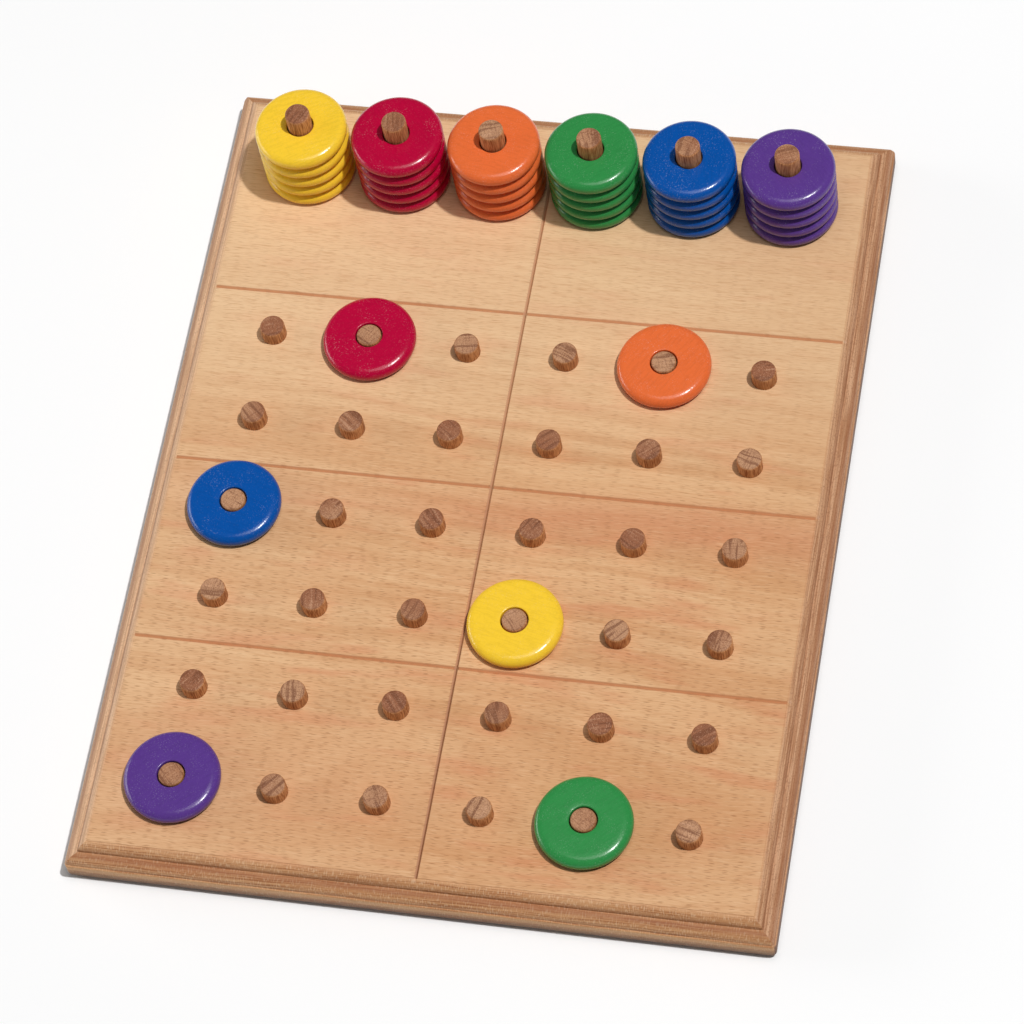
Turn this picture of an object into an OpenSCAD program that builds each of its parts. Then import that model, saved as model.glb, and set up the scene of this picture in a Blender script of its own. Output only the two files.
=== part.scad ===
// Colour sudoku: a moulded wooden board with a grid of short pegs, a back row of tall
// storage pegs and painted rings in six colours that drop over the pegs.
// Millimetres, +Z up. The origin is on the underside, at the centre of the board.
// The storage row is at +Y and the player sits at -Y.

/* [Rings] */
// Outer diameter of a ring
ring_d = 37.8; // [30:0.2:50]
// Thickness of a ring
ring_t = 6.5; // [5:0.5:12]
// Radius of the rounded outer edges of a ring
ring_edge_r = 3; // [0.5:0.1:5]
// Radius of the eased edges at a ring's hole
ring_lip_r = 0.5; // [0.2:0.1:1.5]
// Play between a peg and the hole of a ring, all round
ring_play = 0.5; // [0.3:0.1:1.5]
// Gap between the rings on neighbouring pegs
ring_gap = 2.2; // [1:0.2:10]

/* [Pegs] */
// Diameter of the dowel that all the pegs are cut from
peg_d = 10; // [8:0.5:14]
// How far a short peg stands above a ring that lies on the board
peg_proud = 0.5; // [0:0.5:5]
// How far a storage peg stands above its full stack
peg_grip = 8.5; // [4:0.5:20]
// Chamfer on the ends of the pegs
peg_chamfer = 1; // [0.2:0.1:1.5]
// Glue gap between a peg and its socket, all round
glue_gap = 0.05; // [0.02:0.01:0.2]

/* [Board] */
// Thickness of the board
board_t = 17; // [14:0.5:30]
// Wood left under the bottom of a peg socket
socket_floor = 8; // [4:0.5:10]
// Flat rim between an outer ring and the edge moulding
rim_w = 9.6; // [4:0.2:30]
// Radius of the board's upright corners
corner_r = 2; // [0.5:0.5:4]
// Radius of the eased bottom edge
foot_r = 3; // [0.5:0.5:4]

/* [Edge moulding] */
// Height of the sharp step that starts the moulding
step_h = 0.3; // [0.2:0.1:1]
// Radius of the upper bead
bead_r = 3.5; // [2:0.5:5]
// Width of the flat ledge at the foot of the bead
ledge_w = 1; // [0.5:0.5:4]
// Radius of the outer round
round_r = 3.5; // [2:0.5:6]
// Radius of the small shoulder at the top of the sides
shoulder_r = 0.7; // [0.3:0.1:2]

/* [Grooves] */
// Width of the V groove at the surface
groove_w = 1.6; // [0.6:0.1:3]
// Depth of the V groove
groove_depth = 0.8; // [0.4:0.1:2]

/* [Hidden] */
$fn = 96;

// Pegs along each side of the grid
grid_n = 6;
// Rows of pegs in one box of the puzzle
box_rows = 2;
// Rings on each storage peg
stack_n = 5;
// Pitches from the back row of the grid to the storage row
storage_steps = 2;

// Each colour: its name and its paint
COLOURS = [
    ["yellow", "#fcd02f"],
    ["red", "#b80838"],
    ["orange", "#ef6b33"],
    ["green", "#2b9848"],
    ["blue", "#0050a6"],
    ["purple", "#5a2e8e"],
];
// Rings already on the grid, each by the first letter of its colour: rows from the back,
// columns from the left
START = [
    ".r..o.",
    "......",
    "b.....",
    "...y..",
    "......",
    "p...g.",
];
BEECH = "#d9a877";
DOWEL = "#a9714a";

// Overshoot of a cutter past the face that it opens
over = 1;
// Least straight band that a rounded edge leaves
least_band = 0.2;

pitch = ring_d + ring_gap;
mould_w = bead_r + ledge_w + round_r + shoulder_r;
margin = ring_d / 2 + rim_w + mould_w;
board_w = 2 * margin + (grid_n - 1) * pitch;
board_l = 2 * margin + (grid_n - 1 + storage_steps) * pitch;
ledge_z = board_t - step_h - bead_r;
shoulder_z = ledge_z - round_r;

socket_d = peg_d + 2 * glue_gap;
short_peg_h = board_t - socket_floor + ring_t + peg_proud;
storage_peg_h = board_t - socket_floor + stack_n * ring_t + peg_grip;

bore_r = peg_d / 2 + ring_play;
edge_r = min(ring_edge_r, ring_t / 2 - least_band);
lip_r = min(ring_lip_r, edge_r);

storage_y = board_l / 2 - margin;
back_row_y = storage_y - storage_steps * pitch;

function column_x(col) = (col - (grid_n - 1) / 2) * pitch;
function row_y(row) = back_row_y - row * pitch;
function peg_row_name(row) = str("peg_row_", row + 1);
function storage_peg_name(i) = str("storage_peg_", COLOURS[i][0]);
function stacked_ring_name(i, level) = str("ring_", COLOURS[i][0], "_", level + 1);
function placed_ring_name(i) = str("ring_", COLOURS[i][0], "_placed");
function start_columns(i, row) = search(COLOURS[i][0][0], START[row]);
function start_row(i) = [for (row = ROWS) if (len(start_columns(i, row)) > 0) row][0];
function start_column(i) = start_columns(i, start_row(i))[0];

ROWS = [0 : grid_n - 1];
STACKS = [0 : len(COLOURS) - 1];
LEVELS = [0 : stack_n - 1];

// A bar of the given width, centred on X, between two heights
module bar(width, low, high) {
    translate([-width / 2, low]) square([width, high - low]);
}

// Two equal circles, one on each side of X = 0
module round_pair(offset_x, centre_y, radius) {
    for (side = [-1, 1]) translate([side * offset_x, centre_y]) circle(radius);
}

// Cross-section of the moulded board: width across, height up. From the top down it is
// the field, the step, the bead, the ledge, the outer round, the shoulder, the side and
// the eased foot.
module board_section(width) {
    half = width / 2;
    field_half = half - mould_w;
    ledge_half = field_half + bead_r + ledge_w;
    shoulder_half = half - shoulder_r;
    side_top = shoulder_z - shoulder_r;
    bar(2 * field_half, 0, board_t);
    round_pair(field_half, ledge_z, bead_r);
    bar(2 * ledge_half, 0, ledge_z);
    round_pair(ledge_half, shoulder_z, round_r);
    bar(2 * shoulder_half, foot_r, shoulder_z);
    round_pair(shoulder_half, side_top, shoulder_r);
    bar(width, foot_r, side_top);
    bar(2 * (half - foot_r), 0, side_top);
    round_pair(half - foot_r, foot_r, foot_r);
}

// The moulding runs round all four sides and mitres at the corners
module moulded_blank() {
    intersection() {
        rotate([90, 0, 0]) linear_extrude(board_l + 2 * over, center = true) board_section(board_w);
        rotate([90, 0, 90]) linear_extrude(board_w + 2 * over, center = true) board_section(board_l);
        translate([0, 0, -over]) linear_extrude(board_t + 2 * over) corner_outline();
    }
}

// Plan of the board with its upright corners rounded
module corner_outline() {
    square([board_w - 2 * corner_r, board_l], center = true);
    square([board_w, board_l - 2 * corner_r], center = true);
    for (sx = [-1, 1], sy = [-1, 1])
        translate([sx * (board_w / 2 - corner_r), sy * (board_l / 2 - corner_r)]) circle(corner_r);
}

// A V groove along Y through the origin, cut down from the board's face
module v_groove(length) {
    spread = 1 + over / groove_depth;
    rotate([90, 0, 0])
        linear_extrude(length, center = true)
            polygon([[0, -groove_depth], [groove_w / 2 * spread, over], [-groove_w / 2 * spread, over]]);
}

// Grooves that part the grid into boxes: one down the middle, one behind every box row
module box_grooves() {
    translate([0, 0, board_t]) {
        v_groove(board_l);
        for (row = [0 : box_rows : grid_n - 1])
            translate([0, row_y(row) + pitch / 2, 0]) rotate(90) v_groove(board_w);
    }
}

// Blind holes for every peg
module peg_sockets() {
    for (col = ROWS) {
        for (row = ROWS) translate([column_x(col), row_y(row), socket_floor]) socket_drill();
        translate([column_x(col), storage_y, socket_floor]) socket_drill();
    }
}

module socket_drill() {
    cylinder(h = board_t - socket_floor + over, d = socket_d);
}

module board() {
    color(BEECH) difference() {
        moulded_blank();
        box_grooves();
        peg_sockets();
    }
}

// A length of dowel with both ends chamfered, standing on the origin
module peg(height) {
    r = peg_d / 2;
    rotate_extrude()
        polygon([
            [0, 0], [r - peg_chamfer, 0], [r, peg_chamfer],
            [r, height - peg_chamfer], [r - peg_chamfer, height], [0, height],
        ]);
}

module peg_row(row) {
    color(DOWEL)
        for (col = ROWS) translate([column_x(col), row_y(row), socket_floor]) peg(short_peg_h);
}

module storage_peg(i) {
    color(DOWEL) translate([column_x(i), storage_y, socket_floor]) peg(storage_peg_h);
}

// Half section of a ring: a round outer edge above and below, and an eased hole
module ring_section() {
    outer = ring_d / 2 - edge_r;
    inner = bore_r + lip_r;
    translate([inner, 0]) square([outer - inner, ring_t]);
    translate([inner, edge_r]) square([ring_d / 2 - inner, ring_t - 2 * edge_r]);
    translate([bore_r, lip_r]) square([outer - bore_r, ring_t - 2 * lip_r]);
    for (y = [edge_r, ring_t - edge_r]) translate([outer, y]) circle(edge_r);
    for (y = [lip_r, ring_t - lip_r]) translate([inner, y]) circle(lip_r);
}

module ring(paint) {
    color(paint) rotate_extrude() ring_section();
}

// A ring on its storage peg, counted from the board up
module stacked_ring(i, level) {
    translate([column_x(i), storage_y, board_t + level * ring_t]) ring(COLOURS[i][1]);
}

// The ring of each colour that is already on the grid
module placed_ring(i) {
    translate([column_x(start_column(i)), row_y(start_row(i)), board_t]) ring(COLOURS[i][1]);
}

board();
for (row = ROWS)
    peg_row(row);
for (i = STACKS)
    storage_peg(i);
for (i = STACKS, level = LEVELS)
    stacked_ring(i, level);
for (i = STACKS)
    placed_ring(i);
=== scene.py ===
"""Looks of a wooden colour sudoku: the beech board, its dowel pegs and its painted rings.

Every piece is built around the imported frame, in the same place and at the same size.
Lengths are in millimetres until a mesh is made, and the object's +Z is up.
"""

import math
import random

import bmesh
import bpy
from mathutils import Matrix, Vector, noise


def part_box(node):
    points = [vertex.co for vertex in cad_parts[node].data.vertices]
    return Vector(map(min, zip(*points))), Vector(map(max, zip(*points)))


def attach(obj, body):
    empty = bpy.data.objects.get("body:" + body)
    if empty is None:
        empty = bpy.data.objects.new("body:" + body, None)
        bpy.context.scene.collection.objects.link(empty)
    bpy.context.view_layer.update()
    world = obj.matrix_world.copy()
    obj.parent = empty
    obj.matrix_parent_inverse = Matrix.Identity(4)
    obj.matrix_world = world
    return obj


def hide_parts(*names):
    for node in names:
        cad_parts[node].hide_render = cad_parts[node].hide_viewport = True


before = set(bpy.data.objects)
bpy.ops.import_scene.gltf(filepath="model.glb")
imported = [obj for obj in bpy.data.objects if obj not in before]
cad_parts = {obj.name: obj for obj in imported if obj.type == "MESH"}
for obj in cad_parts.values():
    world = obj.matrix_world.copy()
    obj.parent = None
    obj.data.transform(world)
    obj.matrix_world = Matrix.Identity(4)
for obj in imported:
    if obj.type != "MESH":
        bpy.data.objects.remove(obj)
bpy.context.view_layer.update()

MM = 0.001
COLOURS = ["yellow", "red", "orange", "green", "blue", "purple"]
GRID_N = 6
BOX_ROWS = 2
STACK_N = 5

# Sizes read from the frame
BOARD_LOW, BOARD_HIGH = [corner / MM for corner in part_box("board")]
BOARD_T = BOARD_HIGH.z
RING_LOW, RING_HIGH = [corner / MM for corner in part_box("ring_yellow_1")]
RING_R = (RING_HIGH.x - RING_LOW.x) / 2
RING_T = RING_HIGH.z - RING_LOW.z
DOWEL_LOW, DOWEL_HIGH = [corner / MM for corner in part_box("storage_peg_yellow")]
PEG_R = (DOWEL_HIGH.x - DOWEL_LOW.x) / 2
SOCKET_FLOOR = DOWEL_LOW.z
STORAGE_Y = (DOWEL_LOW.y + DOWEL_HIGH.y) / 2
GRID_LOW, GRID_HIGH = [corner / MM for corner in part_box("peg_row_1")]
PITCH = (GRID_HIGH.x - GRID_LOW.x - 2 * PEG_R) / (GRID_N - 1)
COLUMN_X = [GRID_LOW.x + PEG_R + PITCH * column for column in range(GRID_N)]
ROW_Y = [(GRID_LOW.y + GRID_HIGH.y) / 2 - PITCH * row for row in range(GRID_N)]

# Edge moulding and grooves of the board
STEP_H = 0.3
BEAD_R = 3.5
LEDGE_W = 1.0
ROUND_R = 3.5
SHOULDER_R = 0.7
FOOT_R = 3.0
BROKEN_EDGE_R = 0.2
MITRE_R = 0.4
CORNER_R = 2.0
GROOVE_W = 1.6
GROOVE_DEPTH = 0.8
GLUE_GAP = 0.05
MOULD_W = BEAD_R + LEDGE_W + ROUND_R + SHOULDER_R
FIELD_X = BOARD_HIGH.x - MOULD_W
FIELD_Y = BOARD_HIGH.y - MOULD_W
LEDGE_Z = BOARD_T - STEP_H - BEAD_R
SHOULDER_Z = LEDGE_Z - ROUND_R
SIDE_TOP = SHOULDER_Z - SHOULDER_R
GROOVE_Y = [ROW_Y[row] + PITCH / 2 for row in range(0, GRID_N, BOX_ROWS)]

# Rings
RING_EDGE_R = 3.0
RING_EDGE_W = 3.7
RING_LIP_R = 0.5
RING_PLAY = 0.5
RING_BORE_R = PEG_R + RING_PLAY
# Hair's breadth that a ring's faces keep from the faces that they rest on
TOUCH_GAP = 0.02
# Most that the rim of a turned ring falls short of its full radius, and the length of that wave
RIM_WAVE = 0.05
RIM_WAVE_LENGTH = 5

# Pegs: how far their ends are eased, and how the sawn upper end slants, frays and is worn down
PEG_ROUND_R = 1.1
PEG_TILT = 0.12
PEG_FRAY_DEPTH = 0.1
PEG_FRAY_INSET = 0.12
PEG_FRAY_LENGTH = 0.8
PEG_WORN_H = 2

# Marks of the router on the moulding: the distance from the field where they start, and the length,
# the height and the slice of noise of a slow and a quick wave
ROUTED_FROM = 0.5
WANDER_LENGTH = 28
WANDER_H = 0.05
WANDER_SLICE = 3.1
CHATTER_LENGTH = 0.9
CHATTER_H = 0.02
CHATTER_SLICE = 7.7

# Fineness of the meshes
RING_SEGMENTS = 112
PEG_SEGMENTS = 56
SOCKET_QUARTER = 12
BROKEN_EDGE_STEPS = 3
BEAD_STEPS = 12
SHOULDER_STEPS = 5
FOOT_STEPS = 6
LIP_STEPS = 4
RIM_STEPS = 10
PEG_ROUND_STEPS = 5
FLAT_STEPS = 5
WELD = 0.002
LEAST_EDGE = 0.001
ON_LINE = 0.01

# Spread of the random places in a plank that the turned pieces are cut from, and their seed
PLANK_REACH = 90
PLANK_SEED = 6

# Lacquers of the rings, as on screen
PAINT = {
    "yellow": "#fccf35",
    "red": "#b90038",
    "orange": "#ea6f38",
    "green": "#308d47",
    "blue": "#0050a4",
    "purple": "#5a388b",
}

# Tones of the two woods, as on screen
BEECH_TONES = {
    "early": "#e2b486",
    "late": "#d39e6f",
    "line": "#c48757",
    "blush": "#d28a60",
    "ruddy": "#d19068",
    "warm": "#cf9064",
    "back": "#eac79d",
    "left": "#f2cfa6",
    "right": "#b98254",
    "ripple": "#ba8151",
    "sheen": "#f3d0a6",
    "fleck": "#9a6238",
    "end_pale": "#dcae88",
    "end_dark": "#ab7852",
    "end_speckle": "#8a5a3e",
    "end_left": "#f0d2b0",
    "end_right": "#94613f",
    "end_shade": "#6e4530",
    "side": "#b07344",
    "side_vein": "#8f5029",
    "side_tick": "#ecd2ae",
    "side_light_band": "#e9ba86",
    "burn_and_shade": "#8c4f2e",
    "foot": "#4a3122",
    "scorch_and_shade_front": "#8a563a",
    "scorch_and_shade_back": "#b07d58",
    "scorch_lit": "#cf9b7c",
    "groove": "#c8895f",
}
DOWEL_TONES = {
    "side_pale": "#d89c69",
    "side_dark": "#a2633a",
    "side_layer": "#80492a",
    "end_pale": "#c0906c",
    "end_dark": "#9a6244",
    "end_layer": "#6e3f28",
    "end_light": "#cf9f7e",
    "end_ray": "#7a4a33",
    "end_pore": "#704630",
    "end_gap": "#d6ab8c",
}


# Mesh helpers


def arc(centre, radius, start, end, steps, stretch=1.0):
    """Points on an arc about a centre, from one angle to another in degrees, stretched sideways."""
    angles = [math.radians(start + (end - start) * k / steps) for k in range(steps + 1)]
    reach = radius * stretch
    return [(centre[0] + reach * math.cos(a), centre[1] + radius * math.sin(a)) for a in angles]


def mesh_piece(name, points, faces, material, place=Matrix.Identity(4), sharp_angle=32):
    """A smooth-shaded piece from points in millimetres, with edges over the angle kept sharp."""
    mesh = bpy.data.meshes.new(name)
    mesh.from_pydata([Vector(p) * MM for p in points], [], faces)
    shell = bmesh.new()
    shell.from_mesh(mesh)
    bmesh.ops.remove_doubles(shell, verts=shell.verts, dist=WELD * MM)
    bmesh.ops.dissolve_degenerate(shell, edges=shell.edges, dist=LEAST_EDGE * MM)
    bmesh.ops.recalc_face_normals(shell, faces=shell.faces)
    shell.to_mesh(mesh)
    shell.free()
    mesh.polygons.foreach_set("use_smooth", [True] * len(mesh.polygons))
    mesh.set_sharp_from_angle(angle=math.radians(sharp_angle))
    mesh.materials.append(material)
    piece = bpy.data.objects.new(name, mesh)
    piece.matrix_world = place
    bpy.context.scene.collection.objects.link(piece)
    return piece


def turned(section, segments, closed):
    """Points and faces of a (radius, height) section turned about Z. An open one ends on the axis."""
    points = []
    for radius, height in section:
        for k in range(segments):
            a = 2 * math.pi * k / segments
            points.append(Vector((radius * math.cos(a), radius * math.sin(a), height)))
    rows = len(section)
    faces = []
    for row in range(rows if closed else rows - 1):
        low = row * segments
        high = (row + 1) % rows * segments
        for k in range(segments):
            after = (k + 1) % segments
            faces.append((low + k, low + after, high + after, high + k))
    return points, faces


def cut_from(rng, place, turn):
    """Where a turned piece lay in its plank, and the matrix that brings it from there to its place."""
    origin = Vector([rng.uniform(-PLANK_REACH, PLANK_REACH) for _ in range(3)])
    move = Matrix.Translation(Vector(place) * MM) @ Matrix.Rotation(turn, 4, "Z")
    return origin, move @ Matrix.Translation(-origin * MM)


# Board


def moulding_profile():
    """(outward from the flat field, height) points over the moulding, from the field to the underside."""
    profile = arc((-BROKEN_EDGE_R, BOARD_T - BROKEN_EDGE_R), BROKEN_EDGE_R, 90, 0, BROKEN_EDGE_STEPS)
    profile += arc((0, LEDGE_Z), BEAD_R, 90, 0, BEAD_STEPS)
    profile += arc((BEAD_R + LEDGE_W, SHOULDER_Z), ROUND_R, 90, 0, BEAD_STEPS)
    profile += arc((MOULD_W - SHOULDER_R, SIDE_TOP), SHOULDER_R, 90, 0, SHOULDER_STEPS)
    profile += [(MOULD_W, (SIDE_TOP + FOOT_R) / 2)]
    profile += arc((MOULD_W - FOOT_R, FOOT_R), FOOT_R, 0, -90, FOOT_STEPS)
    return [(outward + BROKEN_EDGE_R, height) for outward, height in profile]


def stations(lines, step=1.0):
    """Positions along a side: every given line, with even steps between them."""
    places = [lines[0]]
    for a, b in zip(lines, lines[1:]):
        count = max(1, math.ceil((b - a) / step))
        places += [a + (b - a) * k / count for k in range(1, count + 1)]
    return places


def corner_curve(offset, straight_steps=4, arc_steps=5):
    """Points past a corner of the field, from one side to the next, before the turn to their corner."""
    reach = MOULD_W + BROKEN_EDGE_R
    radius = max(min(offset, MITRE_R), offset - (reach - CORNER_R))
    straight = offset - radius
    curve = [(offset, straight * k / straight_steps) for k in range(1, straight_steps)]
    curve += arc((straight, straight), radius, 0, 90, arc_steps)
    curve += [(straight * k / straight_steps, offset) for k in range(straight_steps - 1, 0, -1)]
    return curve


def cell_lines(half, centres, grooves):
    """Grid lines over the field: its edges, the limits of each peg's cell, and both lips of each groove."""
    lips = [g + side * GROOVE_W / 2 for g in grooves for side in (-1, 1)]
    limits = [c + side * PITCH / 2 for c in centres for side in (-1, 1)]
    clear = [v for v in limits if all(abs(v - g) > GROOVE_W for g in grooves)]
    return sorted({round(v, 6) for v in [-half, half, *clear, *lips]})


class BoardShell:
    """The board's closed mesh: field, sockets, grooves, moulding, sides and underside."""

    def __init__(self):
        self.points = []
        self.faces = []
        self.half_x = FIELD_X - BROKEN_EDGE_R
        self.half_y = FIELD_Y - BROKEN_EDGE_R
        self.lines_x = cell_lines(self.half_x, COLUMN_X, [0])
        self.lines_y = cell_lines(self.half_y, [*ROW_Y, STORAGE_Y], GROOVE_Y)
        self.stations_x = stations(sorted([*self.lines_x, 0]))
        self.stations_y = stations(sorted([*self.lines_y, *GROOVE_Y]))
        self.field()
        self.moulding()

    def face(self, *corners):
        start = len(self.points)
        self.points += corners
        self.faces.append(tuple(range(start, start + len(corners))))

    def field(self):
        pegs = [(x, y) for x in COLUMN_X for y in [*ROW_Y, STORAGE_Y]]
        for x0, x1 in zip(self.lines_x, self.lines_x[1:]):
            for y0, y1 in zip(self.lines_y, self.lines_y[1:]):
                across = abs(x0 + x1) < GROOVE_W and x1 - x0 < 2 * GROOVE_W
                along = any(y0 < g < y1 and y1 - y0 < 2 * GROOVE_W for g in GROOVE_Y)
                held = [peg for peg in pegs if x0 < peg[0] < x1 and y0 < peg[1] < y1]
                if across and along:
                    self.crossing((x0 + x1) / 2, (y0 + y1) / 2)
                elif across:
                    self.valley([(x0, y0), (x1, y0)], [(x0, y1), (x1, y1)])
                elif along:
                    self.valley([(x0, y0), (x0, y1)], [(x1, y0), (x1, y1)])
                elif held:
                    self.socket_cell(x0, x1, y0, y1, held[0])
                else:
                    self.flat_cell(x0, x1, y0, y1)

    def valley(self, start, end):
        """A stretch of V groove between the two lips at its start and the two at its end."""
        floor = BOARD_T - GROOVE_DEPTH
        ends = []
        for first, second in (start, end):
            middle = ((first[0] + second[0]) / 2, (first[1] + second[1]) / 2, floor)
            ends.append([(*first, BOARD_T), middle, (*second, BOARD_T)])
        for k in (0, 1):
            self.face(ends[0][k], ends[0][k + 1], ends[1][k + 1], ends[1][k])

    def crossing(self, x, y):
        """Where two V grooves cross: a plus-shaped floor that rises to four corners."""
        floor = BOARD_T - GROOVE_DEPTH
        half = GROOVE_W / 2
        for sx in (-1, 1):
            for sy in (-1, 1):
                lip = (x + sx * half, y + sy * half, BOARD_T)
                self.face((x, y, floor), (x + sx * half, y, floor), lip)
                self.face((x, y, floor), lip, (x, y + sy * half, floor))

    def flat_cell(self, x0, x1, y0, y1):
        """A flat patch, with the moulding's stations along any side that is the field's edge."""
        along_x = [v for v in self.stations_x if x0 < v < x1]
        along_y = [v for v in self.stations_y if y0 < v < y1]
        rim = [(x0, y0)]
        rim += [(v, y0) for v in along_x if y0 == self.lines_y[0]]
        rim += [(x1, y0)]
        rim += [(x1, v) for v in along_y if x1 == self.lines_x[-1]]
        rim += [(x1, y1)]
        rim += [(v, y1) for v in reversed(along_x) if y1 == self.lines_y[-1]]
        rim += [(x0, y1)]
        rim += [(x0, v) for v in reversed(along_y) if x0 == self.lines_x[0]]
        self.face(*[(*p, BOARD_T) for p in rim])

    def socket_cell(self, x0, x1, y0, y1, centre):
        """A flat patch round a blind socket."""
        quarter = SOCKET_QUARTER
        count = 4 * quarter
        turn = [2 * math.pi * k / count for k in range(count)]
        radius = PEG_R + GLUE_GAP
        plan = [(centre[0] + radius * math.cos(a), centre[1] + radius * math.sin(a)) for a in turn]
        mouth = [(*p, BOARD_T) for p in plan]
        floor = [(*p, SOCKET_FLOOR) for p in plan]
        corners = [(x1, y1, BOARD_T), (x0, y1, BOARD_T), (x0, y0, BOARD_T), (x1, y0, BOARD_T)]
        for q, corner in enumerate(corners):
            for k in range(q * quarter, (q + 1) * quarter):
                self.face(corner, mouth[(k + 1) % count], mouth[k])
            self.face(corners[q - 1], corner, mouth[q * quarter])
        for k in range(count):
            after = (k + 1) % count
            self.face(mouth[k], mouth[after], floor[after], floor[k])
        self.face(*floor)

    def moulding(self):
        """Loops of the profile round the four sides, joined in turn and closed by the underside."""
        loops = [self.loop(offset, height) for offset, height in moulding_profile()]
        count = len(loops[0])
        start = len(self.points)
        for loop in loops:
            self.points += loop
        for row in range(len(loops) - 1):
            low = start + row * count
            for k in range(count):
                after = (k + 1) % count
                self.faces.append((low + k, low + after, low + count + after, low + count + k))
        last = start + (len(loops) - 1) * count
        self.faces.append(tuple(range(last, last + count)))

    def loop(self, offset, height):
        sides = [
            (0, self.half_x, self.half_y, self.stations_y, GROOVE_Y),
            (1, self.half_y, self.half_x, self.stations_x, [0]),
            (2, self.half_x, self.half_y, self.stations_y, [-g for g in GROOVE_Y]),
            (3, self.half_y, self.half_x, self.stations_x, [0]),
        ]
        loop = []
        for quarter, reach, length, places, grooves in sides:
            along = places if quarter in (0, 3) else [-v for v in reversed(places)]
            side = [(reach + offset, v) for v in along]
            side += [(reach + x, length + y) for x, y in corner_curve(offset)]
            for x, y in side:
                in_groove = any(abs(y - g) < ON_LINE for g in grooves)
                z = min(height, BOARD_T - GROOVE_DEPTH) if in_groove else height
                for _ in range(quarter):
                    x, y = -y, x
                loop.append(self.routed(x, y, z, offset))
        return loop

    def routed(self, x, y, z, offset):
        """A point of the moulding, with the small wander and chatter that a router leaves."""
        if offset < ROUTED_FROM or z < SHOULDER_Z:
            return (x, y, z)
        wander = noise.noise(Vector((x / WANDER_LENGTH, y / WANDER_LENGTH, WANDER_SLICE)))
        chatter = noise.noise(Vector((x / CHATTER_LENGTH, y / CHATTER_LENGTH, CHATTER_SLICE)))
        return (x, y, z + WANDER_H * wander + CHATTER_H * chatter)


# Rings and pegs


def ring_section():
    """Closed half section of a ring: flat faces, round outer edges and an eased hole."""
    outer = RING_R - RING_EDGE_W
    inner = RING_BORE_R + RING_LIP_R
    stretch = RING_EDGE_W / RING_EDGE_R
    low, high = TOUCH_GAP, RING_T - TOUCH_GAP
    flat = [inner + (outer - inner) * k / FLAT_STEPS for k in range(1, FLAT_STEPS)]
    section = arc((outer, low + RING_EDGE_R), RING_EDGE_R, -90, 0, RIM_STEPS, stretch)
    section += arc((outer, high - RING_EDGE_R), RING_EDGE_R, 0, 90, RIM_STEPS, stretch)
    section += [(r, high) for r in reversed(flat)]
    section += arc((inner, high - RING_LIP_R), RING_LIP_R, 90, 180, LIP_STEPS)
    section += arc((inner, low + RING_LIP_R), RING_LIP_R, 180, 270, LIP_STEPS)
    section += [(r, low) for r in flat]
    return section


def ring_piece(name, node, material, rng):
    low, high = [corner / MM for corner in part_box(node)]
    place = ((low.x + high.x) / 2, (low.y + high.y) / 2, low.z)
    points, faces = turned(ring_section(), RING_SEGMENTS, closed=True)
    origin, move = cut_from(rng, place, rng.uniform(0, 2 * math.pi))
    flat_r = RING_R - RING_EDGE_W
    for p in points:
        radius = math.hypot(p.x, p.y)
        edge = max(0, radius - flat_r) / RING_EDGE_W
        wave = noise.noise((p + origin) / RIM_WAVE_LENGTH)
        shrink = 1 - RIM_WAVE * edge * (1 + wave) / 2 / radius
        p.x *= shrink
        p.y *= shrink
    piece = mesh_piece(name, [p + origin for p in points], faces, material, move)
    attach(piece, node)
    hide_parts(node)


def peg_section(height):
    """Open section of a dowel's length, with a chamfered lower end and a rubbed upper edge."""
    eased = PEG_ROUND_R
    rim = PEG_R - eased
    section = [(0, 0), (rim, 0), (PEG_R, eased), (PEG_R, height / 2), (PEG_R, height - 2 * eased)]
    section += arc((rim, height - eased), eased, 0, 90, PEG_ROUND_STEPS)
    section += [(rim * k / FLAT_STEPS, height) for k in range(FLAT_STEPS - 1, -1, -1)]
    return section


def peg_piece(name, node, x, y, material, rng):
    low, high = [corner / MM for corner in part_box(node)]
    height = high.z - low.z
    points, faces = turned(peg_section(height), PEG_SEGMENTS, closed=False)
    turn = rng.uniform(0, 2 * math.pi)
    origin, move = cut_from(rng, (x, y, low.z), turn)
    lean = rng.uniform(0, 2 * math.pi)
    for p in points:
        near_top = max(0, 1 - (height - p.z) / PEG_WORN_H)
        radius = math.hypot(p.x, p.y)
        fray = noise.noise((p + origin) / PEG_FRAY_LENGTH) * near_top * radius / PEG_R
        tilt = (p.x * math.cos(lean) + p.y * math.sin(lean)) / PEG_R
        p.z -= near_top * (PEG_TILT * (1 + tilt) / 2 + PEG_FRAY_DEPTH * abs(fray))
        if radius > 0:
            shrink = 1 - PEG_FRAY_INSET * abs(fray) / radius
            p.x *= shrink
            p.y *= shrink
    piece = mesh_piece(name, [p + origin for p in points], faces, material, move, sharp_angle=50)
    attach(piece, "board")
    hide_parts(node)


# Materials


def linear(hex_colour):
    """A colour written as on screen, in the shader's linear values."""
    channels = [int(hex_colour[k:k + 2], 16) / 255 for k in (1, 3, 5)]
    return (*[c / 12.92 if c <= 0.04045 else ((c + 0.055) / 1.055) ** 2.4 for c in channels], 1)


def tones(palette):
    return {name: linear(code) for name, code in palette.items()}


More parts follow.
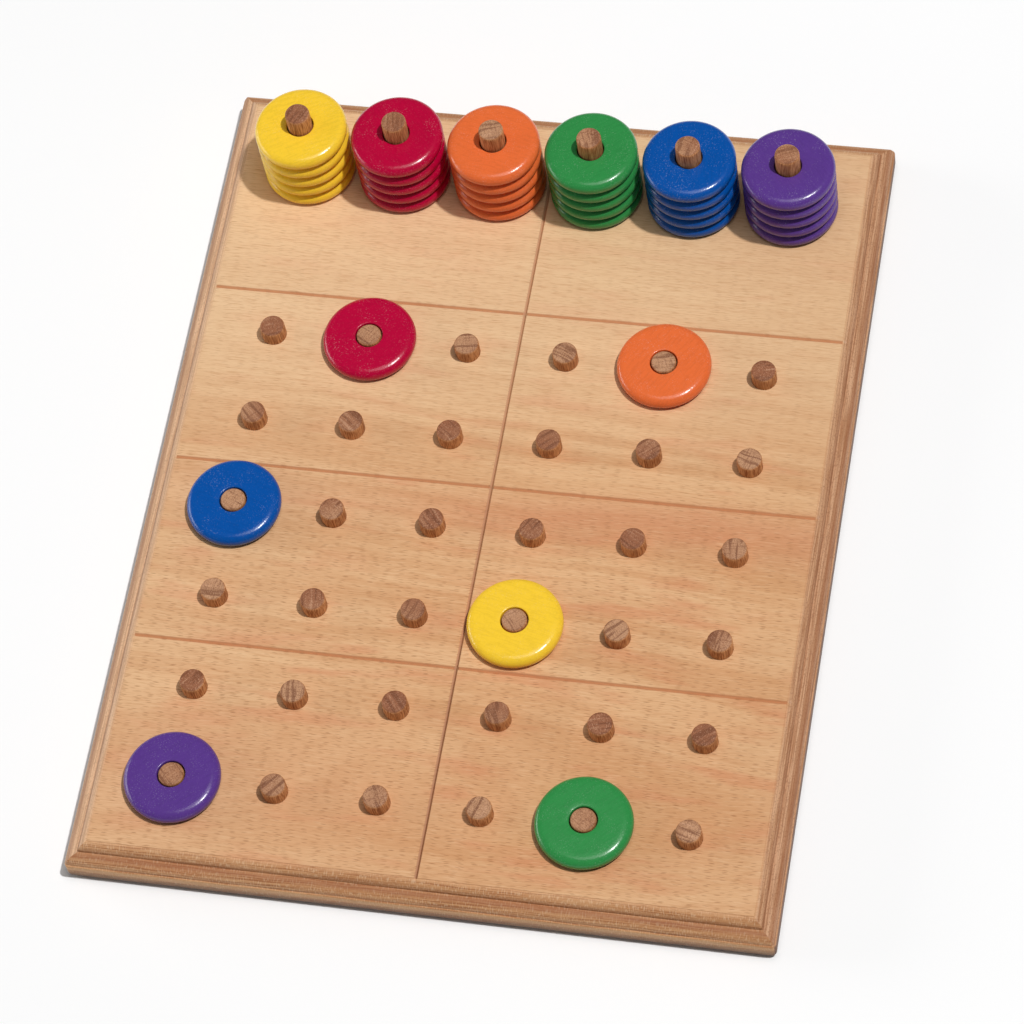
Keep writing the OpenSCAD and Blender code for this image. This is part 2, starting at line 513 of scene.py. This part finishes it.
class Nodes:
    """A material's node tree. Each method adds a node and returns the socket that it gives."""

    def __init__(self, name, values):
        self.material = bpy.data.materials.new(name)
        self.material.use_nodes = True
        self.tree = self.material.node_tree
        self.shader = self.tree.nodes["Principled BSDF"]
        for socket, value in values.items():
            self.shader.inputs[socket].default_value = value

    def feed(self, socket, value):
        if isinstance(value, bpy.types.NodeSocket):
            self.tree.links.new(value, socket)
        else:
            socket.default_value = value

    def add(self, kind, inputs, **settings):
        node = self.tree.nodes.new(kind)
        for key, value in settings.items():
            setattr(node, key, value)
        for socket, value in inputs.items():
            self.feed(node.inputs[socket], value)
        return node

    def place_mm(self):
        """The piece's own coordinates in millimetres."""
        coords = self.add("ShaderNodeTexCoord", {})
        return self.scale(coords.outputs["Object"], [1 / MM] * 3)

    def facing(self):
        """The three parts of the surface's direction in the piece's own frame."""
        return self.split(self.add("ShaderNodeTexCoord", {}).outputs["Normal"])

    def split(self, vector):
        return self.add("ShaderNodeSeparateXYZ", {0: vector}).outputs

    def join(self, x, y, z):
        return self.add("ShaderNodeCombineXYZ", {0: x, 1: y, 2: z}).outputs[0]

    def sized(self, vector, sizes):
        """A texture place: a vector divided by the size of a feature along each axis."""
        return self.scale(vector, [1 / size for size in sizes])

    def sheet(self, u, u_size, v, v_size, layer=0.0):
        """A texture place on a plane: two values, each divided by the size of a feature along it."""
        return self.join(self.calc("MULTIPLY", u, 1 / u_size), self.calc("MULTIPLY", v, 1 / v_size), layer)

    def scale(self, vector, factors):
        return self.add("ShaderNodeVectorMath", {0: vector, 1: factors}, operation="MULTIPLY").outputs[0]

    def shift(self, vector, other):
        return self.add("ShaderNodeVectorMath", {0: vector, 1: other}, operation="ADD").outputs[0]

    def calc(self, operation, a, b=0.0):
        return self.add("ShaderNodeMath", {0: a, 1: b}, operation=operation).outputs[0]

    def ease(self, value, low, high, to_low=0.0, to_high=1.0):
        """A smooth step: to_low below low, to_high above high."""
        inputs = {0: value, 1: low, 2: high, 3: to_low, 4: to_high}
        return self.add("ShaderNodeMapRange", inputs, interpolation_type="SMOOTHSTEP").outputs[0]

    def noise(self, vector, detail=2.0, roughness=0.5):
        inputs = {"Vector": vector, "Scale": 1.0, "Detail": detail, "Roughness": roughness}
        return self.add("ShaderNodeTexNoise", inputs).outputs[0]

    def drift(self, vector, reach):
        """A slow random offset of up to about reach along each axis."""
        inputs = {"Vector": vector, "Scale": 1.0, "Detail": 1.0}
        colour = self.add("ShaderNodeTexNoise", inputs).outputs["Color"]
        centred = self.shift(colour, (-0.5, -0.5, -0.5))
        return self.scale(centred, [2 * r for r in reach])

    def near(self, value, centre, reach):
        """One where the value is at the centre, fading to nothing at its reach."""
        off = self.calc("ABSOLUTE", self.calc("SUBTRACT", value, centre))
        return self.ease(off, 0, reach, 1, 0)

    def cells(self, vector):
        """Distance to the nearest point scattered over a plane, and that point's own random value."""
        cell = self.add("ShaderNodeTexVoronoi", {"Vector": vector, "Scale": 1.0}, voronoi_dimensions="2D")
        return cell.outputs["Distance"], self.split(cell.outputs["Color"])[0]

    def mix(self, share, a, b):
        inputs = {0: share, 6: a, 7: b}
        return self.add("ShaderNodeMix", inputs, data_type="RGBA").outputs[2]

    def bump(self, height, distance, strength=1.0):
        inputs = {"Height": height, "Distance": distance * MM, "Strength": strength}
        return self.add("ShaderNodeBump", inputs).outputs[0]

    def finish(self, colour, roughness, normal):
        self.feed(self.shader.inputs["Base Color"], colour)
        self.feed(self.shader.inputs["Roughness"], roughness)
        self.feed(self.shader.inputs["Normal"], normal)
        self.feed(self.shader.inputs["Coat Normal"], normal)
        return self.material


def beech():
    """Oiled beech with its grain along X: growth layers, fine streaks, worked edges and grooves."""
    n = Nodes("beech", {"Specular IOR Level": 0.25})
    tone = tones(BEECH_TONES)
    p = n.place_mm()
    x, y, z = n.split(p)
    past_x = n.calc("SUBTRACT", n.calc("ABSOLUTE", x), FIELD_X)
    past_y = n.calc("SUBTRACT", n.calc("ABSOLUTE", y), FIELD_Y)
    past = n.calc("MAXIMUM", past_x, past_y)

    # Growth layers about a pith below the board, which drifts so that the front shows arches
    pith_y = -128.0
    pith_z = -38.0
    pith_slope = 0.05
    waved = n.shift(p, n.drift(n.sized(p, (130, 45, 45)), (0, 7, 7)))
    wx, wy, wz = n.split(waved)
    dy = n.calc("ADD", wy, -pith_y)
    dz = n.calc("ADD", wz, -pith_z)
    squared = n.calc("ADD", n.calc("MULTIPLY", dy, dy), n.calc("MULTIPLY", dz, dz))
    layer = n.calc("ADD", n.calc("SQRT", squared), n.calc("MULTIPLY", wx, pith_slope))
    broad = n.noise(n.sheet(layer, 7, wx, 260), 2.0)
    narrow = n.noise(n.sheet(layer, 1.3, wx, 70, 4.0), 2.0)

    # Short dark flecks over fine ripples, both a little wavy. They carry on down the edges.
    fx, fy, fz = n.split(n.shift(p, n.drift(n.sized(p, (18, 9, 9)), (0, 0.7, 0.7))))
    down = n.calc("SUBTRACT", n.calc("ABSOLUTE", fy), fz)
    gap, lot = n.cells(n.sheet(fx, 5.5, down, 0.55))
    fleck = n.calc("MULTIPLY", n.ease(gap, 0.1, 0.3, 1, 0), n.ease(lot, 0.0, 0.9))
    fine = n.sheet(fx, 9.0, down, 0.45)
    ripple = n.noise(fine, 2.0, 0.6)
    blush = n.noise(n.sized(waved, (50, 9, 9)), 2.0)

    wood = n.mix(n.ease(broad, 0.33, 0.67), tone["early"], tone["late"])
    wood = n.mix(n.ease(narrow, 0.45, 0.75, 0, 0.3), wood, tone["line"])
    wood = n.mix(n.ease(blush, 0.52, 0.72, 0, 0.6), wood, tone["blush"])
    ruddy_y = -12
    ruddy = n.calc("MULTIPLY", n.near(wy, ruddy_y, 19), n.ease(x, -70, 50, 0.3, 0.75))
    wood = n.mix(ruddy, wood, tone["ruddy"])
    warm_y = -140
    warm = n.calc("MULTIPLY", n.near(wy, warm_y, 50), n.ease(x, -60, 40, 0.45, 0.1))
    wood = n.mix(warm, wood, tone["warm"])
    # Painted sheen and light falloff: the beech is paler towards the back
    wood = n.mix(n.ease(y, -5, 75, 0, 0.6), wood, tone["back"])
    # Painted fall of light across the board: lighter to the left, darker to the right
    wood = n.mix(n.ease(x, -150, 20, 0.22, 0), wood, tone["left"])
    wood = n.mix(n.ease(x, 20, 150, 0, 0.18), wood, tone["right"])
    wood = n.mix(n.ease(ripple, 0.5, 0.7, 0, 0.4), wood, tone["ripple"])
    wood = n.mix(n.ease(ripple, 0.3, 0.47, 0.25, 0), wood, tone["sheen"])
    wood = n.mix(n.calc("MULTIPLY", fleck, n.ease(y, -60, 60, 0.62, 0.26)), wood, tone["fleck"])

    # The moulding: long grain with short pale ticks at the front and back, streaky end grain
    # at the left and right
    on_end = n.ease(n.calc("SUBTRACT", past_x, past_y), -0.3, 0.3)
    streak = n.noise(n.sheet(past, 0.5, y, 26), 3.0, 0.6)
    speckle = n.noise(n.sized(p, (0.5, 0.8, 0.5)), 1.0)
    tick = n.noise(n.sheet(x, 0.5, down, 2.5), 1.0)
    ends = n.mix(n.ease(streak, 0.35, 0.65), tone["end_pale"], tone["end_dark"])
    ends = n.mix(n.ease(speckle, 0.5, 0.7, 0, 0.55), ends, tone["end_speckle"])
    # Painted light on the end grain: lighter at the left end, darker at the right end
    ends = n.mix(n.ease(x, -100, 100, 0.3, 0), ends, tone["end_left"])
    ends = n.mix(n.ease(x, -100, 100, 0, 0.2), ends, tone["end_right"])
    # Painted shade on the vertical faces of the ends below the shoulder, deeper towards the right
    below_shoulder = n.ease(z, SIDE_TOP - 0.7, SIDE_TOP + 0.5, 1, 0)
    painted_end_shade = n.calc("MULTIPLY", below_shoulder, n.ease(x, -100, 100, 0.45, 0.95))
    ends = n.mix(painted_end_shade, ends, tone["end_shade"])
    vein = n.noise(n.sheet(x, 40, down, 0.6, 5.0), 2.0, 0.6)
    sides = n.mix(0.5, wood, tone["side"])
    sides = n.mix(n.ease(vein, 0.48, 0.62, 0, 0.7), sides, tone["side_vein"])
    sides = n.mix(n.ease(tick, 0.5, 0.7, 0, 0.35), sides, tone["side_tick"])
    # Painted light: a paler band on the upper part of the front and back sides
    above_foot = n.ease(z, FOOT_R + 2, FOOT_R + 5)
    painted_light_band = n.calc("MULTIPLY", above_foot, n.ease(z, SIDE_TOP, SIDE_TOP + 0.6, 0.5, 0))
    sides = n.mix(painted_light_band, sides, tone["side_light_band"])

    # Painted shade in the crease beside the bead, together with burnt wood from the cutter, and a painted
    # shadow in the quirk of the moulding. On the end grain, burnt wood on the round, and painted shade with
    # burnt wood low on the bead. Painted shade darkens the edges towards the bottom.
    crease_shade_and_burn = n.calc("MULTIPLY", n.near(past, BEAD_R + 1.4, 2.4), 0.6)
    quirk_shade = n.calc("MULTIPLY", n.near(past, MOULD_W - SHOULDER_R, 0.3), 0.15)
    crease_shade_and_burn = n.calc("MAXIMUM", crease_shade_and_burn, quirk_shade)
    end_burn_and_shade = n.calc("MULTIPLY", n.near(past, BEAD_R + LEDGE_W + 2.4, 1.8), 0.55)
    bead_shade_and_burn = n.calc("MULTIPLY", n.near(past, BEAD_R - 0.4, 1.4), 0.3)
    end_burn_and_shade = n.calc("MAXIMUM", end_burn_and_shade, bead_shade_and_burn)
    sides = n.mix(crease_shade_and_burn, sides, tone["burn_and_shade"])
    ends = n.mix(end_burn_and_shade, ends, tone["burn_and_shade"])
    edge = n.mix(on_end, sides, ends)
    # Painted shade: the edge gets darker towards the bottom
    edge = n.mix(n.ease(z, FOOT_R - 1, FOOT_R + 4.5, 0.8, 0), edge, tone["foot"])
    wood = n.mix(n.ease(past, -0.6, 1.4, 0, 0.95), wood, edge)

    # Grooves: ruddy where they follow the grain. Where they cross it, a scorched colour, darker towards the
    # front, stands for scorching and painted shade together on the right-hand wall, and the left-hand wall
    # is painted lighter as if lit.
    sunk = n.calc("MULTIPLY", n.ease(z, BOARD_T - 0.3, BOARD_T - 0.05, 1, 0), n.ease(past, -0.1, 0.1, 1, 0))
    crossing = n.ease(n.calc("ABSOLUTE", x), GROOVE_W / 2, GROOVE_W / 2 + 0.2, 1, 0)
    groove_shade_and_scorch = n.mix(n.ease(y, -130, 60), tone["scorch_and_shade_front"], tone["scorch_and_shade_back"])
    # Painted light on the left-hand wall of the groove across the grain, painted shade with the scorching
    # on the right-hand wall
    groove_shade_and_scorch = n.mix(n.ease(x, -0.4, 0.1, 0.7, 0), groove_shade_and_scorch, tone["scorch_lit"])
    groove = n.mix(crossing, tone["groove"], groove_shade_and_scorch)
    wood = n.mix(n.calc("MULTIPLY", sunk, 0.8), wood, groove)

    rough = n.ease(ripple, 0.3, 0.8, 0.45, 0.65)
    relief = n.calc("SUBTRACT", n.calc("MULTIPLY", ripple, 0.6), fleck)
    return n.finish(wood, rough, n.bump(relief, 0.06, 0.5))


def dowel():
    """Bare hardwood dowel with its grain along Z: end grain with dark rings on top, ruddy sides."""
    n = Nodes("dowel", {"Specular IOR Level": 0.2})
    tone = tones(DOWEL_TONES)
    p = n.place_mm()
    waved = n.shift(p, n.drift(n.sized(p, (12, 12, 60)), (1.0, 1.0, 0)))
    layer = n.noise(n.sized(waved, (1.5, 18, 120)), 2.0, 0.6)
    rays = n.noise(n.sized(waved, (6, 0.5, 60)), 1.0)
    shade = n.noise(n.sized(p, (40, 40, 200)), 0.0)
    fibre = n.noise(n.sized(p, (0.4, 0.4, 5)), 2.0)
    pores = n.noise(n.sized(p, (0.45, 0.35, 4)), 1.0)
    upward = n.ease(n.facing()[2], 0.3, 0.9)

    side = n.mix(n.ease(fibre, 0.35, 0.7), tone["side_pale"], tone["side_dark"])
    side = n.mix(n.ease(layer, 0.45, 0.65, 0, 0.4), side, tone["side_layer"])
    end = n.mix(n.ease(shade, 0.35, 0.65), tone["end_pale"], tone["end_dark"])
    end = n.mix(n.ease(layer, 0.5, 0.62, 0, 0.65), end, tone["end_layer"])
    end = n.mix(n.ease(layer, 0.3, 0.42, 0.5, 0), end, tone["end_light"])
    end = n.mix(n.ease(rays, 0.5, 0.7, 0, 0.4), end, tone["end_ray"])
    end = n.mix(n.ease(pores, 0.48, 0.72, 0, 0.55), end, tone["end_pore"])
    end = n.mix(n.ease(pores, 0.28, 0.44, 0.4, 0), end, tone["end_gap"])
    colour = n.mix(upward, side, end)
    relief = n.calc("ADD", layer, pores)
    return n.finish(colour, n.ease(fibre, 0.3, 0.8, 0.55, 0.75), n.bump(relief, 0.12, 0.6))


def paint(colour):
    """Glossy lacquer over turned wood: the grain shows through as fine darker streaks, with scattered pale
    specks.
    """
    n = Nodes(f"paint_{colour}", {"Specular IOR Level": 0.1, "Coat Weight": 0.58, "Coat Roughness": 0.2})
    p = n.place_mm()
    grain = n.noise(n.sized(p, (5.0, 0.7, 0.7)), 2.0, 0.6)
    weave = n.noise(n.sized(p, (0.7, 1.6, 0.7)), 1.0)
    cloud = n.noise(n.sized(p, (9, 9, 9)), 2.0)
    speck = n.ease(n.noise(n.sized(p, (0.5, 0.45, 0.45)), 1.0), 0.62, 0.7)

    base = linear(PAINT[colour])
    deep = (*[c * 0.8 for c in base[:3]], 1)
    pale = (*[c * 0.85 + 0.14 for c in base[:3]], 1)
    coat = n.mix(n.ease(grain, 0.42, 0.68, 0, 0.4), base, deep)
    coat = n.mix(n.ease(weave, 0.5, 0.72, 0, 0.25), coat, deep)
    coat = n.mix(n.calc("MULTIPLY", speck, n.ease(cloud, 0.4, 0.62, 0.12, 0.7)), coat, pale)
    relief = n.calc("ADD", grain, n.calc("MULTIPLY", weave, 0.6))
    return n.finish(coat, n.ease(cloud, 0.3, 0.7, 0.2, 0.3), n.bump(relief, 0.06, 0.7))


# The object

rng = random.Random(PLANK_SEED)
beech_wood = beech()
dowel_wood = dowel()
lacquers = {colour: paint(colour) for colour in COLOURS}

shell = BoardShell()
board = mesh_piece("board_panel", shell.points, shell.faces, beech_wood)
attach(board, "board")
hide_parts("board")

for row, y in enumerate(ROW_Y):
    for column, x in enumerate(COLUMN_X):
        peg_piece(f"short_peg_{row + 1}_{column + 1}", f"peg_row_{row + 1}", x, y, dowel_wood, rng)

for column, colour in enumerate(COLOURS):
    peg_piece(f"tall_peg_{colour}", f"storage_peg_{colour}", COLUMN_X[column], STORAGE_Y, dowel_wood, rng)
    for level in [*range(1, STACK_N + 1), "placed"]:
        node = f"ring_{colour}_{level}"
        ring_piece(f"painted_{node}", node, lacquers[colour], rng)


# Studio

# Each lamp: azimuth from +X and elevation in degrees, size and distance in metres, and its share
# of the light on a level surface
KEY = {"source": (-2, 69.5), "size": (0.2, 0.2), "distance": 4.8, "share": 0.65}
FILL = {"source": (0, 84), "size": (0.9, 0.9), "distance": 1.6, "share": 0.21}
REFLECTOR = {"source": (178, 12), "size": (1.4, 0.5), "distance": 1.6, "share": 0.07}
SKY_SHARE = 0.1

VIEW_TARGET = Vector((9.93, -10.14, 17.0))
VIEW_AZIMUTH = 20.86
VIEW_ELEVATION = 60.76
VIEW_DISTANCE = 1654.6
VIEW_ROLL = -12.77
VIEW_LENS = 148.3
SENSOR_W = 36
VIEW_REACH_M = 50

FLOOR_HALF = 8000
FLOOR_DROP = 0.02
FLOOR_WHITE = 0.985


def towards(azimuth, elevation):
    a, e = math.radians(azimuth), math.radians(elevation)
    return Vector((math.cos(e) * math.cos(a), math.cos(e) * math.sin(a), math.sin(e)))


def softbox(name, source, size, distance, share):
    """A lamp that gives a level surface its share of the light that shows white as white."""
    lamp = bpy.data.lights.new(name, "AREA")
    lamp.shape = "ELLIPSE"
    lamp.size, lamp.size_y = size
    direction = towards(*source)
    lamp.energy = share * math.pi ** 2 * distance ** 2 / direction.z
    holder = bpy.data.objects.new(name, lamp)
    holder.location = direction * distance
    holder.rotation_euler = (-direction).to_track_quat("-Z", "Y").to_euler()
    bpy.context.scene.collection.objects.link(holder)


def sky():
    """An even, dim studio all round."""
    world = bpy.data.worlds.new("studio")
    world.use_nodes = True
    backdrop = world.node_tree.nodes["Background"]
    backdrop.inputs["Color"].default_value = (1, 1, 1, 1)
    backdrop.inputs["Strength"].default_value = SKY_SHARE
    bpy.context.scene.world = world


def floor():
    """A plain pale floor under the object."""
    half = FLOOR_HALF
    corners = [(-half, -half, 0), (half, -half, 0), (half, half, 0), (-half, half, 0)]
    n = Nodes("floor", {"Specular IOR Level": 0.0, "Roughness": 0.9})
    n.shader.inputs["Base Color"].default_value = (FLOOR_WHITE, FLOOR_WHITE, FLOOR_WHITE, 1)
    plane = mesh_piece("studio_floor", corners, [(0, 1, 2, 3)], n.material)
    plane.location.z = -FLOOR_DROP * MM


def camera():
    """The camera at the photograph's view."""
    data = bpy.data.cameras.new("camera")
    data.lens = VIEW_LENS
    data.sensor_width = SENSOR_W
    data.clip_end = VIEW_REACH_M
    holder = bpy.data.objects.new("camera", data)
    back = towards(VIEW_AZIMUTH - 90, VIEW_ELEVATION)
    aim = (-back).to_track_quat("-Z", "Y").to_matrix().to_4x4()
    roll = Matrix.Rotation(math.radians(VIEW_ROLL), 4, "Z")
    holder.matrix_world = Matrix.Translation((VIEW_TARGET + back * VIEW_DISTANCE) * MM) @ aim @ roll
    bpy.context.scene.collection.objects.link(holder)
    bpy.context.scene.camera = holder


softbox("key", **KEY)
softbox("fill", **FILL)
softbox("reflector", **REFLECTOR)
sky()
floor()
camera()
bpy.context.scene.view_settings.view_transform = "Standard"
